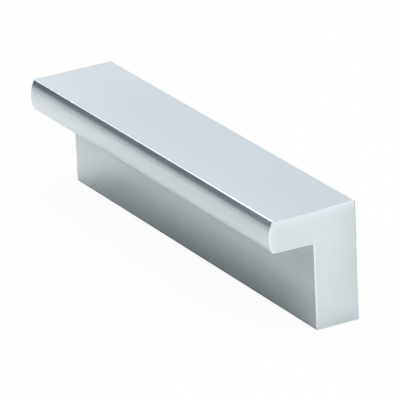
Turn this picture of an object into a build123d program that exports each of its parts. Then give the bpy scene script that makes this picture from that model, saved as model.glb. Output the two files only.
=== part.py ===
"""Cabinet pull: one solid L-shaped bar, with an upright leg and a grip lip along its top.

The leg's lower end is the seat that is screwed to a door or drawer front. The lip overhangs the
front of the leg, and fingers go into the gap under it. The lip's front is crowned and rolls under
at the bottom, where fingers pull. The other edges are barely softened, as polishing leaves them,
and two blind holes in the seat take M4 screws.

Millimetres. X runs along the pull, -Y is the side of the lip, and +Z points away from the door.
The origin is on the seat, half way between the two screw holes.
"""

import os
from math import radians, tan

from build123d import *

# The bar
HOLE_SPACING = 96.0  # centre to centre of the two screws, three steps of the 32 mm system
END_MARGIN = 5.0  # from a screw's centre to the nearer end of the bar
PROJECTION = 27.0  # from the seat to the top face
LEG_THICKNESS = 10.4

# The lip
LIP_REACH = 20.0  # from the back face to the lip's upper front edge
LIP_THICKNESS = 7.3  # at its front
UNDERSIDE_SLOPE = 1.2  # degrees, so that the lip is a little thicker at the leg
NOSE_CROWN = 1.0  # how far the lip's front swells past the line between its two edges
NOSE_LEAN = 0.3  # how much further forward the lower of those edges is

# The corners
EDGE_RADIUS = 0.3  # along the top and round both end faces
NOSE_BOTTOM_RADIUS = 0.5  # along the lip's lower front edge
ROOT_RADIUS = 0.4  # in the inner corner, where the lip meets the leg
SEAT_EDGE_RADIUS = 0.15  # round the seat, left nearly sharp so that it sits flush

# The screw holes
BORE_RADIUS = 2.0  # the outside of an M4 thread
HOLE_DEPTH = 14.0  # of the full bore, short of the drill's point
COUNTERSINK_RADIUS = 2.5  # at the seat
COUNTERSINK_ANGLE = 90.0
DRILL_POINT_ANGLE = 118.0

# Worked out from those
length = HOLE_SPACING + 2 * END_MARGIN
back = LEG_THICKNESS / 2
leg_front = -LEG_THICKNESS / 2
upper_front = back - LIP_REACH
lower_front = upper_front - NOSE_LEAN
front_underside = PROJECTION - LIP_THICKNESS
root_height = front_underside - (leg_front - lower_front) * tan(radians(UNDERSIDE_SLOPE))


def bar_section():
    """The bar's outline across its length, with every corner but the seat's rounded."""
    back_top = (back, PROJECTION)
    nose_top = (upper_front, PROJECTION)
    nose_bottom = (lower_front, front_underside)
    root = (leg_front, root_height)
    with BuildSketch(Plane.YZ) as section:
        with BuildLine():
            Polyline(root, (leg_front, 0), (back, 0), back_top, nose_top)
            SagittaArc(nose_bottom, nose_top, NOSE_CROWN)
            Line(nose_bottom, root)
        make_face()
        fillet(section.vertices().sort_by_distance(back_top)[0], EDGE_RADIUS)
        fillet(section.vertices().sort_by_distance(nose_top)[0], EDGE_RADIUS)
        fillet(section.vertices().sort_by_distance(nose_bottom)[0], NOSE_BOTTOM_RADIUS)
        fillet(section.vertices().sort_by_distance(root)[0], ROOT_RADIUS)
    return section.sketch


def screw_hole():
    """The space of one screw hole, up from the seat: countersunk mouth, bore and drill point."""
    countersink_depth = (COUNTERSINK_RADIUS - BORE_RADIUS) / tan(radians(COUNTERSINK_ANGLE / 2))
    point_height = BORE_RADIUS / tan(radians(DRILL_POINT_ANGLE / 2))
    with BuildSketch(Plane.XZ) as half_section:
        with BuildLine():
            Polyline(
                (0, 0),
                (COUNTERSINK_RADIUS, 0),
                (BORE_RADIUS, countersink_depth),
                (BORE_RADIUS, HOLE_DEPTH),
                (0, HOLE_DEPTH + point_height),
                close=True,
            )
        make_face()
    return revolve(half_section.sketch, Axis.Z)


def cabinet_pull():
    """The whole pull, as one solid."""
    bar = extrude(bar_section(), length / 2, both=True)

    end_faces = bar.faces().filter_by(Axis.X)
    seat_edges = bar.edges().group_by(Axis.Z)[0]
    bar = fillet(end_faces.edges() - seat_edges, EDGE_RADIUS)
    bar = fillet(bar.faces().sort_by(Axis.Z)[0].edges(), SEAT_EDGE_RADIUS)

    return bar - GridLocations(HOLE_SPACING, 0, 2, 1) * screw_hole()


os.makedirs("parts", exist_ok=True)
export_step(cabinet_pull(), "parts/cabinet_pull.step")
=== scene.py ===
"""The looks of a cabinet pull: one L-shaped bar of bright anodised aluminium.

Metres throughout. X runs along the pull, -Y is the side of its lip, +Z points away from the door,
and the pull stands on its seat at Z = 0.
"""

import math

import bpy
from mathutils import Matrix, Vector


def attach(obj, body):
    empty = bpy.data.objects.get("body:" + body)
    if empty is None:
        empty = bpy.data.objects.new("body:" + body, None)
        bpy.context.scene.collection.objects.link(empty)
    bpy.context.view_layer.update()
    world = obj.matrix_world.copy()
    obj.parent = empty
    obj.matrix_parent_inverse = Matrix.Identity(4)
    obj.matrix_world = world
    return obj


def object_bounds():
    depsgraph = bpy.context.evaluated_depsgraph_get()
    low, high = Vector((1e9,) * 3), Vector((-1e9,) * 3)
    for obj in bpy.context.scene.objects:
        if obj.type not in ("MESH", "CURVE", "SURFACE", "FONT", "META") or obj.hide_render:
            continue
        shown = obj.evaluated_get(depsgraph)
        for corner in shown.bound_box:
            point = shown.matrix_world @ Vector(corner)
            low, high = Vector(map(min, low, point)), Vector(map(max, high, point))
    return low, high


MM = 0.001

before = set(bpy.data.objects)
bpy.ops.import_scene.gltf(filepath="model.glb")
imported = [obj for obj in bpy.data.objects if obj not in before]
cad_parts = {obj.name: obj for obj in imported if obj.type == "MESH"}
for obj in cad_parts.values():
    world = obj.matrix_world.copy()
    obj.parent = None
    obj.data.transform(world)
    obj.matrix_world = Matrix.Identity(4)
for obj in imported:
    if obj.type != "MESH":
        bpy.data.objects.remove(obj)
cad_low, cad_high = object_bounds()

# The pull's own sizes, which the finish follows
NOSE = cad_low[1]
BACK = cad_high[1]
TOP = cad_high[2]
LEG_FRONT = BACK - 10.4 * MM
LIP_UNDERSIDE = TOP - 7.5 * MM
HOLE_PLACE = 48.0 * MM  # along X, either side of the middle
COUNTERSINK_RADIUS = 2.5 * MM
HOLE_MARGIN = 0.02 * MM  # so that its mouth's edge counts as the hole

# The thread in each hole, M4
THREAD_PITCH = 0.7 * MM
THREAD_OUTSIDE = 2.02 * MM  # a hair into the bore's wall
THREAD_INSIDE = 1.62 * MM
THREAD_BOTTOM = 0.9 * MM
THREAD_TURNS = 17
THREAD_RUN_OUT = 0.5  # turns over which it rises from the wall, at each end
STEPS_IN_A_TURN = 28
RIDGE_FOOT = 0.30 * MM  # half of its width at the wall
RIDGE_CREST = 0.05 * MM  # half of its width at the tip

# The metal
SATIN = (0.70, 0.757, 0.777)
# The edges' colour: partly polish, partly a painted highlight
POLISHED_EDGE_AND_HIGHLIGHT = (0.93, 0.955, 0.965)
ROUGHNESS = 0.2
EDGE_ROUGHNESS = 0.13
RIM_ROUGHNESS = 0.45  # round the top, where the edge is broken with a file
LINE_ROUGHNESS = 0.10
CLOUD_ROUGHNESS = 0.06
RECESS_ROUGHNESS = 0.10
HOLE_ROUGHNESS = 0.15
LINES_ALONG = (30, 3800, 3800)  # per metre on each axis, as drawing leaves them on the bar
LINES_ACROSS = (3800, 60, 3200)  # as sawing leaves them on the ends
CLOUDS = (25, 70, 70)
LINE_DETAIL = 3.0
CLOUD_DETAIL = 2.0
LINE_DEPTH = 0.02 * MM
LINE_STRENGTH = 0.05

# How far a surface has turned, as parts of its normal: where a mark starts and where it is whole,
# and, in a band, where it begins to fade and where it is gone
TURNED_TO_END = (0.5, 0.9)
END_IS_FLAT = 0.97
EDGE_TURN = (0.08, 0.35)
FRONT_RIM_BAND = (0.57, 0.70, 0.93, 0.995)
END_RIM_BAND = (0.05, 0.2, 0.97, 0.998)
BACK_RIM_TURN = (0.15, 0.4)
BACK_RIM_UP = (0.3, 0.6)
POLISH_AND_HIGHLIGHT_ENDS = (0.1, 0.4)
POLISH_AND_HIGHLIGHT_REACH_HIGHER = 0.35  # on the side of the lip
UPPER_NOSE_BAND = (-0.02, 0.15, 0.20, 0.36)
LOWER_NOSE_TURN = (-0.05, 0.25)
NOSE_UNDERSIDE_TURN = (0.3, 0.6)
FACES_UP = 0.9
FACES_DOWN = 0.6
FACES_FRONT = 0.5
FACES_FRONT_ON_NOSE = 0.7
FACES_FRONT_ON_RIM = 0.3
FACES_FRONT_ON_SEAT_EDGE = 0.1

# Where a mark lies: where it starts and where it is whole
BACK_RIM_WIDTH = 0.6 * MM
NOSE_DEPTH = 2.5 * MM
LEG_FACE_DEPTH = 1.2 * MM
SEAT_EDGE_HEIGHT = 0.35 * MM
POLISH_AND_HIGHLIGHT_BOTTOM = 0.2 * MM
UNDER_LIP_FROM = 10 * MM
RECESS_RISE = (8 * MM, 16 * MM)
RUBBED_AND_HIGHLIT_ALONG = (15 * MM, 45 * MM)
RIM_LIGHTENS_ALONG = (-50 * MM, 20 * MM)
END_RIM_LIGHTENS_BACK = (-6 * MM, BACK)
BACK_RIM_DARKENS_UP = (8 * MM, TOP)
END_SHADE_ACROSS = (-1 * MM, BACK)
END_LEG_RISE = (12 * MM, 22 * MM)
END_LEG_FROM = -2 * MM
END_FOOT_RISE = (0, 9 * MM)
END_RIM_WIDTH = 2.5 * MM
TOP_TO_FAR_END = (-20 * MM, -50 * MM)
TOP_TO_FRONT = (-3 * MM, NOSE + 1 * MM)
LEG_TO_FAR_END = (-25 * MM, -52 * MM)
LEG_FOOT_RISE = (1 * MM, 10 * MM)

# How much a mark lightens the metal, or darkens it where the number is below 0. Apart from the lines and
# clouds, each is painted light or shade.
LINE_TONE = 0.05
CLOUD_TONE = 0.03
# Painted light on the underside of the nose
NOSE_UNDERSIDE_LIGHT_TONE = 0.3
# Painted shade in the inner corner and under the lip, and in the screw holes
RECESS_TONE = -0.27
HOLE_TONE = -0.3
# Painted contact shadow along the seat's front edge
SEAT_EDGE_TONE = -0.4
# Painted highlights on the front and end rims, and painted shade on the back rim
FRONT_RIM_TONE = -0.02
FRONT_RIM_ALONG_TONE = 0.22
RUBBED_PAINTED_HIGHLIGHT = 0.4
END_RIM_TONE = 0.05
END_RIM_BACK_TONE = 0.30
BACK_RIM_TONE = -0.4
BACK_RIM_UP_TONE = -0.4
# Painted light and shade on the ends, with painted highlights at their rims
END_TONE = 0.05
END_BACK_TONE = -0.11
END_LEG_TONE = -0.03
END_FOOT_TONE = 0.07
END_GLOW_TONE = 0.10
# Painted light on the lower nose, and painted shade on its swell above
LOWER_NOSE_TONE = 0.05
UPPER_NOSE_TONE = -0.065
# Painted light on the top
TOP_FAR_TONE = 0.05
TOP_FRONT_TONE = 0.05
# Painted light and shade on the front of the leg
LEG_FAR_TONE = 0.20
LEG_FAR_UP_TONE = -0.25

# The photograph's view
PHOTO_WIDTH = 400  # pixels, square
FOCAL_LENGTH = 4183.5  # pixels
SENSOR_WIDTH = 36.0  # millimetres, as lenses are given
CAMERA_PLACE = Vector((746.27, -415.23, 352.62)) * MM
CAMERA_AIM = Vector((1.459, -3.312, 12.321)) * MM  # a point on the middle of the view
CAMERA_ROLL = math.radians(2.67)  # the camera leans clockwise
CAMERA_NEAREST = 0.05
CAMERA_FARTHEST = 20

# The studio
WHITE = (1.0, 1.0, 1.0)
PAPER = (0.95, 0.93, 0.924)
PAPER_SEEN_WHITE = 0.95  # the share of plain white in it, and the rest is lit and shaded
PAPER_MIRRORED_WHITE = 0.03  # the same, in shiny things
ROOM_LIGHT = (0.086, 0.125, 0.14)  # on matt things
WALLS_REFLECTED = (0.98, 0.96, 0.97)  # in shiny things, low down
CEILING_REFLECTED = (0.836, 0.871, 0.923)  # in shiny things, high up
DARK_SIDE_REFLECTED = (0.40, 0.43, 0.46)  # the room behind the photographer
WALLS_TO_CEILING = (0.26, 0.38)  # as a direction's height
DARK_SIDE_ALONG = (0.35, 0.95)  # as parts of a direction
DARK_SIDE_ENDS_BACK = (0, 0.35)
DARK_SIDE_ENDS_UP = (0.3, 0.55)
FLOOR_SIZE = 8.0
FLOOR_HEIGHT = -0.02 * MM  # clear of the seat by a hair

# The lamps, each with its direction from the pull, distance, size and strength
LAMPS = {
    "back": ((0.2, 0.95, 0.35), 2.5, (1.6, 0.5), 8.9),
    "overhead": ((0, 0, 1), 1.5, (1.6, 1.2), 2.2),
    "right": ((0.70, 0.1, 0.70), 2.5, (0.8, 1.2), 4.45),
    "left": ((-0.818, -0.1, 0.50), 2.5, (0.8, 0.6), 4.52),
    "right_back": ((0.70, 0.55, 0.45), 2.5, (1.0, 0.8), 3.41),
    "front": ((-0.1, -0.70, 0.70), 2.5, (1.6, 0.8), 1.35),
}
# The one lamp that shiny things mirror, and it lights nothing matt
STRIP = ((-0.81, -0.37, 0.42), 2.5, (0.6, 0.5), 5.0)

# The upright card that the lip's nose mirrors
CARD_PLACE = -122 * MM  # along Y
CARD_FAR = -400 * MM  # along X
CARD_NEAR = -40 * MM
CARD_CUT = -145 * MM  # from here its top slopes down to its near side
CARD_HEIGHT = 78 * MM
CARD_NEAR_HEIGHT = 48 * MM
CARD_FOOT_HEIGHT = 20 * MM
CARD_FADE_HEIGHT = 40 * MM
CARD_BOTTOM_COLOUR = (0.68, 0.68, 0.68)
CARD_FOOT_COLOUR = (0.65, 0.655, 0.665)
CARD_DARK_COLOUR = (0.115, 0.15, 0.175)


class Socket:
    """A shader value that can be used in sums."""

    def __init__(self, finish, socket):
        self.finish = finish
        self.socket = socket

    def maths(self, operation, *values):
        return self.finish.node("Math", {"operation": operation}, dict(enumerate(values)))

    def __add__(self, other):
        return self.maths("ADD", self, other)

    def __radd__(self, other):
        return self.maths("ADD", other, self)

    def __sub__(self, other):
        return self.maths("SUBTRACT", self, other)

    def __rsub__(self, other):
        return self.maths("SUBTRACT", other, self)

    def __mul__(self, other):
        return self.maths("MULTIPLY", self, other)

    def __rmul__(self, other):
        return self.maths("MULTIPLY", other, self)

    def __neg__(self):
        return self.maths("MULTIPLY", self, -1)

    def __abs__(self):
        return self.maths("ABSOLUTE", self)

    def __gt__(self, other):
        return self.maths("GREATER_THAN", self, other)

    def __lt__(self, other):
        return self.maths("LESS_THAN", self, other)


class Finish:
    """A material or a world made of nodes."""

    def __init__(self, owner):
        self.owner = owner
        owner.use_nodes = True
        self.tree = owner.node_tree
        self.tree.nodes.clear()

    def node(self, kind, settings=None, values=None, output=0):
        """A node of that kind, with its settings, then its sockets' values or links."""
        made = self.tree.nodes.new("ShaderNode" + kind)
        for name, value in (settings or {}).items():
            setattr(made, name, value)
        for name, value in (values or {}).items():
            if isinstance(value, Socket):
                self.tree.links.new(value.socket, made.inputs[name])
            else:
                made.inputs[name].default_value = value
        return Socket(self, made.outputs[output])

    def part(self, socket, output):
        """Another output of the node that a socket came from."""
        return Socket(self, socket.socket.node.outputs[output])

    def axes(self, vector):
        split = self.node("SeparateXYZ", values={0: vector})
        return [self.part(split, axis) for axis in "XYZ"]

    def larger(self, first, second):
        return self.node("Math", {"operation": "MAXIMUM"}, {0: first, 1: second})

    def smaller(self, first, second):
        return self.node("Math", {"operation": "MINIMUM"}, {0: first, 1: second})

    def ramp(self, value, start, end):
        """Smoothly from 0 at start to 1 at end."""
        return self.node("MapRange", {"interpolation_type": "SMOOTHSTEP"}, {0: value, 1: start, 2: end})

    def band(self, value, start, whole, fades, gone):
        """Smoothly from 0 to 1, and back to 0."""
        return self.ramp(value, start, whole) * (1 - self.ramp(value, fades, gone))

    def mix(self, share, first, second):
        """A colour between two, the second where share is 1."""
        colours = [c if isinstance(c, Socket) else (*c, 1.0) for c in (first, second)]
        # A Mix node's colours are its sockets 6 and 7, and its colour output is the third
        return self.node("Mix", {"data_type": "RGBA"}, {0: share, 6: colours[0], 7: colours[1]}, 2)

    def brighter(self, colour, times):
        return self.node("VectorMath", {"operation": "SCALE"}, {0: colour, "Scale": times})

    def distance(self, first, second):
        """How long the diagonal of two lengths is."""
        diagonal = self.node("CombineXYZ", values={0: first, 1: second})
        return self.node("VectorMath", {"operation": "LENGTH"}, {0: diagonal}, 1)

    def stretched_noise(self, place, per_metre, detail):
        """Noise with its own fineness along each axis, about 0."""
        stretched = self.node("VectorMath", {"operation": "MULTIPLY"}, {0: place, 1: per_metre})
        return self.node("TexNoise", values={"Vector": stretched, "Scale": 1.0, "Detail": detail}) - 0.5

    def mirrored(self, ray):
        """1 where a shiny or clear thing shows this surface."""
        return self.larger(self.part(ray, "Is Glossy Ray"), self.part(ray, "Is Transmission Ray"))

    def shade(self, surface, kind="Material"):
        end = self.tree.nodes.new("ShaderNodeOutput" + kind)
        self.tree.links.new(surface.socket, end.inputs["Surface"])
        return self.owner


class Aluminium(Finish):
    """Bright, slightly cold metal, with the marks of how the bar is made, and painted light and shade.

    Drawing leaves fine lines along the bar, and sawing leaves them across its ends. The edges are
    brighter, partly from polish and partly as painted highlights, and the inner corner, the underside
    of the lip and the screw holes get painted shade.
    """

    def __init__(self, name):
        super().__init__(bpy.data.materials.new(name))
        coordinates = self.node("TexCoord")
        self.place = self.part(coordinates, "Object")
        self.x, self.y, self.z = self.axes(self.place)
        self.nx, self.ny, self.nz = self.axes(self.part(coordinates, "Normal"))
        self.find_rims()
        self.find_recesses()
        self.find_lines()

    def find_rims(self):
        """The rounded edges: those with a polish, painted brighter as well, and those round the top,
        which a file has broken and which carry painted highlights, with painted shade on the back rim.
        """
        across, through = abs(self.nx), abs(self.ny)
        at_back = (self.y > BACK - BACK_RIM_WIDTH) * (across < END_IS_FLAT)
        below_top = 1 - self.ramp(self.nz, *BACK_RIM_UP)
        self.back_rim = at_back * self.ramp(across, *BACK_RIM_TURN) * below_top
        self.end_rim = (across > through) * (self.nz > through) * self.band(self.nz, *END_RIM_BAND)
        self.front_rim = (through > across) * self.band(self.nz, *FRONT_RIM_BAND)
        self.rubbed_and_highlit = self.ramp(self.x, *RUBBED_AND_HIGHLIT_ALONG)

        # Edges that polish reaches, also painted brighter as a highlight
        round_ends = self.ramp(self.smaller(across, self.larger(through, abs(self.nz))), *EDGE_TURN)
        in_reach = round_ends * (1 - at_back) * (self.z > POLISH_AND_HIGHLIGHT_BOTTOM) * (1 - self.end_rim)
        height = self.nz - POLISH_AND_HIGHLIGHT_REACH_HIGHER * (self.ny < -FACES_FRONT_ON_RIM)
        self.polish_and_highlight = in_reach * (1 - self.ramp(height, *POLISH_AND_HIGHLIGHT_ENDS))

    def find_recesses(self):
        """The inner corner, under the lip and in the holes, which get painted shade and are rougher."""
        self.leg_face = (self.ny < -FACES_FRONT) * (self.y > LEG_FRONT - LEG_FACE_DEPTH)
        under_lip = (self.nz < -FACES_DOWN) * (self.z > UNDER_LIP_FROM)
        # Painted shade rising up the leg's front, and under the lip
        self.recess = self.larger(self.leg_face * self.ramp(self.z, *RECESS_RISE), under_lip)
        # Painted shade in the screw holes
        from_hole = self.distance(abs(self.x) - HOLE_PLACE, self.y)
        self.in_hole = (from_hole < COUNTERSINK_RADIUS + HOLE_MARGIN) * (self.z < LIP_UNDERSIDE)

    def find_lines(self):
        """The lines of drawing and sawing, and the faint clouds of anodising."""
        self.on_end = self.ramp(abs(self.nx), *TURNED_TO_END)
        along = self.stretched_noise(self.place, LINES_ALONG, LINE_DETAIL)
        across = self.stretched_noise(self.place, LINES_ACROSS, LINE_DETAIL)
        self.lines = along + (across - along) * self.on_end
        self.clouds = self.stretched_noise(self.place, CLOUDS, CLOUD_DETAIL)

    def end_tone(self):
        """Painted light and shade on the ends: darker towards the back and the leg, lighter at the foot,
        with painted highlights along their top and nose rims.
        """
        back = self.node("MapRange", values={0: self.y, 1: END_SHADE_ACROSS[0], 2: END_SHADE_ACROSS[1]})
        leg = (1 - self.ramp(self.z, *END_LEG_RISE)) * (self.y > END_LEG_FROM)
        foot = 1 - self.ramp(self.z, *END_FOOT_RISE)
        top = self.ramp(self.z, TOP - END_RIM_WIDTH, TOP)
        glow = self.larger(top, self.ramp(self.y, NOSE + END_RIM_WIDTH, NOSE))
        painted_end_shading = END_TONE + END_BACK_TONE * back + END_LEG_TONE * leg + END_FOOT_TONE * foot
        return self.on_end * (painted_end_shading + END_GLOW_TONE * glow)

    def rim_tone(self):
        """Painted highlights on the rims, lighter along the front towards the near end and on the ends
        towards the back, and painted shade on the back rim, darker upwards.
        """
        front = FRONT_RIM_TONE + FRONT_RIM_ALONG_TONE * self.ramp(self.x, *RIM_LIGHTENS_ALONG)
        front = front + RUBBED_PAINTED_HIGHLIGHT * self.rubbed_and_highlit
        end = END_RIM_TONE + END_RIM_BACK_TONE * self.ramp(self.y, *END_RIM_LIGHTENS_BACK)
        back = BACK_RIM_TONE + BACK_RIM_UP_TONE * self.ramp(self.z, *BACK_RIM_DARKENS_UP)
        return (1 + front * self.front_rim) * (1 + end * self.end_rim) * (1 + back * self.back_rim)

    def nose_tone(self):
        """Painted light on the lower half of the nose, and painted shade on its swell above."""
        on_nose = (self.y < NOSE + NOSE_DEPTH) * (self.ny < -FACES_FRONT_ON_NOSE)
        lower = self.ramp(-self.nz, *LOWER_NOSE_TURN)
        upper = self.band(self.nz, *UPPER_NOSE_BAND)
        return on_nose * (LOWER_NOSE_TONE * lower + UPPER_NOSE_TONE * upper)

    def top_tone(self):
        """Painted light on the top: a little lighter towards its far end and towards the nose."""
        far = TOP_FAR_TONE * self.ramp(self.x, *TOP_TO_FAR_END)
        front = TOP_FRONT_TONE * self.ramp(self.y, *TOP_TO_FRONT)
        return (self.nz > FACES_UP) * (far + front)

    def leg_tone(self):
        """Painted light and shade on the front of the leg: lighter at the foot of its far end, and a
        little darker above.
        """
        rise = LEG_FAR_TONE + LEG_FAR_UP_TONE * self.ramp(self.z, *LEG_FOOT_RISE)
        return self.leg_face * self.ramp(self.x, *LEG_TO_FAR_END) * rise

    def tone(self):
        """How bright the metal is, as a share of its own colour: its lines and clouds, and painted light
        and shade.
        """
        # Painted light on the underside of the nose
        painted_nose_underside_light = self.ramp(-self.nz, *NOSE_UNDERSIDE_TURN) * (self.y < NOSE + NOSE_DEPTH)
        # Painted contact shadow along the seat's front edge
        seat_edge = (self.z < SEAT_EDGE_HEIGHT) * (self.ny < -FACES_FRONT_ON_SEAT_EDGE)
        tone = 1 + LINE_TONE * self.lines + CLOUD_TONE * self.clouds + NOSE_UNDERSIDE_LIGHT_TONE * painted_nose_underside_light
        # Painted shade in the recesses and the screw holes
        tone = (tone + self.end_tone()) * (1 + RECESS_TONE * self.recess) * (1 + HOLE_TONE * self.in_hole)
        # Painted highlights and shade on the rims
        tone = tone * self.rim_tone() * (1 + SEAT_EDGE_TONE * seat_edge)
        return tone + self.nose_tone() + self.top_tone() + self.leg_tone()

    def roughness(self):
        roughness = ROUGHNESS + LINE_ROUGHNESS * self.lines + CLOUD_ROUGHNESS * self.clouds
        roughness = roughness + RECESS_ROUGHNESS * self.recess + HOLE_ROUGHNESS * self.in_hole
        roughness = roughness + (EDGE_ROUGHNESS - roughness) * self.polish_and_highlight
        broken = self.larger(self.front_rim * (1 - self.rubbed_and_highlit), self.end_rim)
        return roughness + (RIM_ROUGHNESS - roughness) * broken


def anodised_aluminium():
    metal = Aluminium("bright_anodised_aluminium")
    # The edges' colour is partly polish and partly a painted highlight
    colour = metal.mix(metal.polish_and_highlight, metal.brighter(SATIN, metal.tone()), POLISHED_EDGE_AND_HIGHLIGHT)
    relief = {"Strength": LINE_STRENGTH, "Distance": LINE_DEPTH, "Height": metal.lines}
    looks = {
        "Base Color": colour,
        "Metallic": 1.0,
        "Roughness": metal.roughness(),
        "Normal": metal.node("Bump", values=relief),
    }
    return metal.shade(metal.node("BsdfPrincipled", values=looks))


def studio_paper():
    """White paper that the camera sees nearly evenly lit, with a trace of the pull's shadow."""
    finish = Finish(bpy.data.materials.new("studio_paper"))
    paper = finish.node("BsdfDiffuse", values={"Color": (*PAPER, 1.0)})
    white = finish.node("Emission", values={"Color": (*WHITE, 1.0), "Strength": 1.0})
    ray = finish.node("LightPath")
    seen = PAPER_SEEN_WHITE * finish.part(ray, "Is Camera Ray")
    seen = seen + PAPER_MIRRORED_WHITE * finish.mirrored(ray)
    return finish.shade(finish.node("MixShader", values={0: seen, 1: paper, 2: white}))


def studio_world():
    """White to the camera, nearly white in reflections, and a plain soft light on matt things.

    Low down behind the photographer the room is darker, and only reflections show that.
    """
    world = bpy.data.worlds.new("studio")
    bpy.context.scene.world = world
    finish = Finish(world)
    x, y, height = finish.axes(finish.node("TexCoord"))
    reflected = finish.mix(finish.ramp(height, *WALLS_TO_CEILING), WALLS_REFLECTED, CEILING_REFLECTED)
    dark_side = finish.ramp(x, *DARK_SIDE_ALONG) * (1 - finish.ramp(y, *DARK_SIDE_ENDS_BACK))
    dark_side = dark_side * (1 - finish.ramp(height, *DARK_SIDE_ENDS_UP))
    reflected = finish.mix(dark_side, reflected, DARK_SIDE_REFLECTED)
    ray = finish.node("LightPath")
    straight = finish.mirrored(ray) * (finish.part(ray, "Diffuse Depth") < 0.5)
    colour = finish.mix(straight, ROOM_LIGHT, reflected)
    colour = finish.mix(finish.part(ray, "Is Camera Ray"), colour, WHITE)
    finish.shade(finish.node("Background", values={"Color": colour, "Strength": 1.0}), "World")


def new_mesh(name, points, faces, material):
    mesh = bpy.data.meshes.new(name)
    mesh.from_pydata(points, [], faces)
    mesh.materials.append(material)
    thing = bpy.data.objects.new(name, mesh)
    bpy.context.scene.collection.objects.link(thing)
    return thing


def flat_mesh(name, corners, material):
    thing = new_mesh(name, corners, [tuple(range(len(corners)))], material)
    return thing


def thread(name, hole_x, metal):
    """The spiral ridge of a screw thread, on the wall of one hole."""
    profile = (
        (THREAD_OUTSIDE, -RIDGE_FOOT),
        (THREAD_INSIDE, -RIDGE_CREST),
        (THREAD_INSIDE, RIDGE_CREST),
        (THREAD_OUTSIDE, RIDGE_FOOT),
    )
    steps = THREAD_TURNS * STEPS_IN_A_TURN
    points = []
    for step in range(steps + 1):
        turns = step / STEPS_IN_A_TURN
        angle = 2 * math.pi * turns
        fade = min(1, turns / THREAD_RUN_OUT, (THREAD_TURNS - turns) / THREAD_RUN_OUT)
        for radius, rise in profile:
            radius = THREAD_OUTSIDE - (THREAD_OUTSIDE - radius) * fade
            height = THREAD_BOTTOM + turns * THREAD_PITCH + rise
            points.append((hole_x + radius * math.cos(angle), radius * math.sin(angle), height))
    sides = len(profile)
    faces = []
    for step in range(steps):
        for side in range(sides):
            here = step * sides + side
            beside = step * sides + (side + 1) % sides
            faces.append((here, beside, beside + sides, here + sides))
    faces.append(tuple(range(sides))[::-1])
    faces.append(tuple(range(steps * sides, (steps + 1) * sides)))
    ridge = new_mesh(name, points, faces, metal)
    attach(ridge, "root")


def floor():
    half = FLOOR_SIZE / 2
    corners = ((-half, -half), (half, -half), (half, half), (-half, half))
    flat_mesh("floor", [(x, y, FLOOR_HEIGHT) for x, y in corners], studio_paper())


def softbox(name, direction, distance, size, strength):
    """A rectangular lamp that looks at the pull from that direction, and that nothing mirrors."""
    lamp = bpy.data.lights.new(name, "AREA")
    lamp.shape = "RECTANGLE"
    lamp.size, lamp.size_y = size
    lamp.energy = strength * lamp.size * lamp.size_y * math.pi
    thing = bpy.data.objects.new(name, lamp)
    bpy.context.scene.collection.objects.link(thing)
    away = Vector(direction).normalized()
    thing.location = away * distance
    thing.rotation_mode = "QUATERNION"
    thing.rotation_quaternion = (-away).to_track_quat("-Z", "Y")
    thing.visible_glossy = False
    return thing


def mirrored_strip():
    """The lamp that the rim along the top of the lip mirrors."""
    strip = softbox("strip", *STRIP)
    strip.visible_diffuse = False
    strip.visible_glossy = True


def graded_card():
    """An upright card along the pull that glows evenly, in colours that change with height."""
    finish = Finish(bpy.data.materials.new("card"))
    height = finish.axes(finish.node("NewGeometry"))[2]
    lower = finish.node("MapRange", values={0: height, 1: 0, 2: CARD_FOOT_HEIGHT})
    upper = finish.node("MapRange", values={0: height, 1: CARD_FOOT_HEIGHT, 2: CARD_FADE_HEIGHT})
    foot = finish.mix(lower, CARD_BOTTOM_COLOUR, CARD_FOOT_COLOUR)
    colour = finish.mix(upper, foot, CARD_DARK_COLOUR)
    card = finish.shade(finish.node("Emission", values={"Color": colour, "Strength": 1.0}))
    outline = (
        (CARD_FAR, 0),
        (CARD_NEAR, 0),
        (CARD_NEAR, CARD_NEAR_HEIGHT),
        (CARD_CUT, CARD_HEIGHT),
        (CARD_FAR, CARD_HEIGHT),
    )
    thing = flat_mesh("card", [(x, CARD_PLACE, z) for x, z in outline], card)
    thing.visible_camera = False


def camera():
    lens = bpy.data.cameras.new("camera")
    lens.sensor_width = SENSOR_WIDTH
    lens.lens = SENSOR_WIDTH * FOCAL_LENGTH / PHOTO_WIDTH
    lens.clip_start = CAMERA_NEAREST
    lens.clip_end = CAMERA_FARTHEST
    thing = bpy.data.objects.new("camera", lens)
    bpy.context.scene.collection.objects.link(thing)
    level = (CAMERA_AIM - CAMERA_PLACE).to_track_quat("-Z", "Y").to_matrix()
    roll = Matrix.Rotation(-CAMERA_ROLL, 3, "Z")
    thing.matrix_world = Matrix.Translation(CAMERA_PLACE) @ (level @ roll).to_4x4()
    bpy.context.scene.camera = thing


bpy.context.scene.view_settings.view_transform = "Standard"
metal = anodised_aluminium()
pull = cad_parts["cabinet_pull"]
pull.data.materials[0] = metal
thread("thread_left", -HOLE_PLACE, metal)
thread("thread_right", HOLE_PLACE, metal)

camera()
studio_world()
floor()
for name, lamp in LAMPS.items():
    softbox(name, *lamp)
mirrored_strip()
graded_card()
